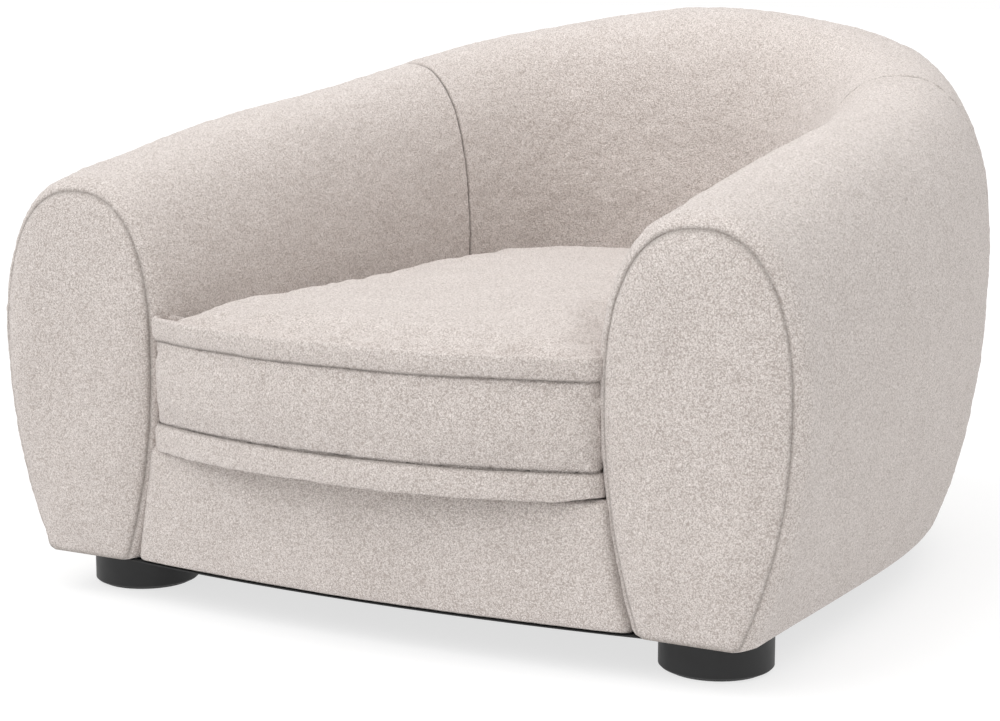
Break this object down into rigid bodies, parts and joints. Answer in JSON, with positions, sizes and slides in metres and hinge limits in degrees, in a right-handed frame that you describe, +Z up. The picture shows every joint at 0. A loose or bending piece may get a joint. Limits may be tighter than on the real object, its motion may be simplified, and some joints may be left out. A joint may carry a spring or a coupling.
{
  "type": "upholstered armchair",
  "caption": "Low tub armchair with a continuous rounded horseshoe of arms and back, a loose boxed seat cushion with flanged seams, a bowed front rail and round feet.",
  "frame": {"origin": "on the floor, at the middle of the overall box's underside", "axes": "+Z up; the sitter faces -Y, so the back of the chair is towards +Y; +X is towards the sitter's left"},
  "size_m": [1.05, 1.1369, 0.695],
  "materials": {
    "boucle_cover": "cream looped boucle upholstery fabric, matt and nubbly",
    "deck_cloth": "plain woven decking cloth under the cushion",
    "dust_cloth": "black non-woven bottoming cloth",
    "spring_cloth": "coarse woven spring cloth",
    "foam": "soft open-cell upholstery foam",
    "fibre_wrap": "lofted polyester fibre",
    "zip_tape": "woven zip tape with closed coil",
    "plywood": "bare birch plywood",
    "hardboard": "thin bent hardboard",
    "rail_timber": "planed softwood",
    "black_wood": "turned wood, satin black lacquer",
    "felt": "pressed dark felt",
    "zinc_steel": "zinc plated",
    "spring_steel": "oiled spring wire"
  },
  "bodies": {
    "chair": {"arm_formers": "plywood", "arm_top_rails": "plywood", "back_base_board": "plywood", "back_cover": "boucle_cover", "back_crown_foam": "foam", "back_formers": "plywood", "back_inner_foam": "foam", "back_outer_foam": "foam", "back_top_rail": "plywood", "corner_blocks": "rail_timber", "deck_cloth": "deck_cloth", "deck_pad": "foam", "dust_cloth": "dust_cloth", "felt_glides": "felt", "foot_bolts": "zinc_steel", "front_left_foot": "black_wood", "front_rail": "rail_timber", "front_rail_cover": "boucle_cover", "front_rail_foam": "foam", "front_right_foot": "black_wood", "inner_panels": "hardboard", "joining_plates": "zinc_steel", "left_arm_base_board": "plywood", "left_arm_cover": "boucle_cover", "left_arm_crown_foam": "foam", "left_arm_front_board": "plywood", "left_arm_front_cover": "boucle_cover", "left_arm_front_foam": "foam", "left_arm_inner_foam": "foam", "left_arm_outer_foam": "foam", "outer_panels": "hardboard", "plate_screws": "zinc_steel", "rear_deck_board": "plywood", "rear_left_foot": "black_wood", "rear_right_foot": "black_wood", "rear_seat_rail": "rail_timber", "right_arm_base_board": "plywood", "right_arm_cover": "boucle_cover", "right_arm_crown_foam": "foam", "right_arm_front_board": "plywood", "right_arm_front_cover": "boucle_cover", "right_arm_front_foam": "foam", "right_arm_inner_foam": "foam", "right_arm_outer_foam": "foam", "seat_side_rails": "rail_timber", "seat_springs": "spring_steel", "spring_clips": "zinc_steel", "spring_cloth": "spring_cloth", "spring_tie_wires": "spring_steel", "t_nuts": "zinc_steel"},
    "seat_cushion": {"cushion_bottom_flange": "boucle_cover", "cushion_bottom_panel": "boucle_cover", "cushion_bottom_wrap": "fibre_wrap", "cushion_boxing": "boucle_cover", "cushion_core": "foam", "cushion_top_flange": "boucle_cover", "cushion_top_panel": "boucle_cover", "cushion_top_wrap": "fibre_wrap", "cushion_zip": "zip_tape"}
  },
  "joints": [
    {"name": "cushion_lift", "type": "slide", "parent": "chair", "child": "seat_cushion", "axis": [0, 0, 1], "range_m": [0, 0.45]}
  ]
}
